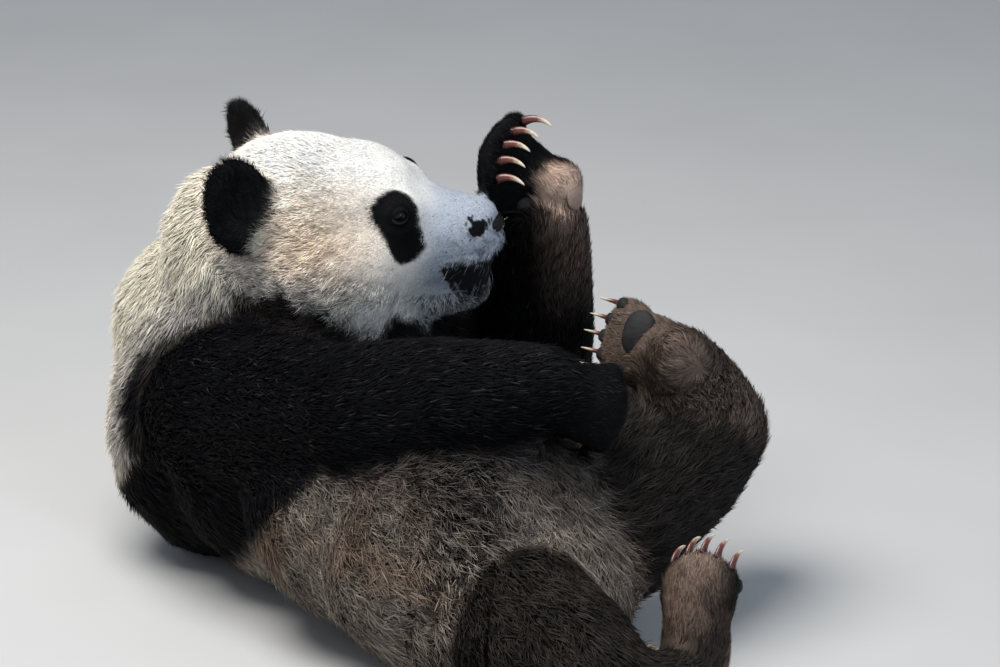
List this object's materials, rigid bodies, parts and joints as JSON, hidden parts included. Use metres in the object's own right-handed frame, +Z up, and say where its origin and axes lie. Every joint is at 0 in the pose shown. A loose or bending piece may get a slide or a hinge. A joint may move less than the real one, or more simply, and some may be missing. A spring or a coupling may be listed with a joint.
{
  "type": "giant panda",
  "caption": "Life-size still model of an adult giant panda lying on its back, head raised, with one forepaw lifted and one across its belly.",
  "frame": {"origin": "on the floor, under the middle of the animal's box", "axes": "+Z up, +X the way the nose points, -Y the animal's right side, towards which the belly and hind legs are turned"},
  "size_m": [0.8572, 0.986, 0.5974],
  "materials": {
    "white": "thick matt fur, cream white",
    "black": "thick matt fur, black, browner on the hind legs",
    "grizzled": "tousled cream fur, dusty grey-brown",
    "nose": "moist pebbled skin, black",
    "eye": "wet dark brown eye",
    "claw": "smooth horn, reddish brown at the root and cream at the tip"
  },
  "bodies": {
    "root": {"abdomen": "grizzled", "chest": "grizzled", "claw_foot_left_1": "claw", "claw_foot_left_2": "claw", "claw_foot_left_3": "claw", "claw_foot_left_4": "claw", "claw_foot_left_5": "claw", "claw_foot_right_1": "claw", "claw_foot_right_2": "claw", "claw_foot_right_3": "claw", "claw_foot_right_4": "claw", "claw_foot_right_5": "claw", "claw_hand_left_1": "claw", "claw_hand_left_2": "claw", "claw_hand_left_3": "claw", "claw_hand_left_4": "claw", "claw_hand_left_5": "claw", "claw_hand_right_1": "claw", "claw_hand_right_2": "claw", "claw_hand_right_3": "claw", "claw_hand_right_4": "claw", "claw_hand_right_5": "claw", "ear_left": "black", "ear_right": "black", "eye_left": "eye", "eye_right": "eye", "forearm_left": "black", "forearm_right": "black", "hand_left": "black", "hand_right": "black", "head": "white", "hindfoot_left": "black", "hindfoot_right": "black", "jaw": "white", "neck": "white", "nose": "nose", "rump": "grizzled", "shank_left": "black", "shank_right": "black", "shoulders": "black", "tail": "white", "thigh_left": "black", "thigh_right": "black", "upper_arm_left": "black", "upper_arm_right": "black"}
  },
  "joints": []
}
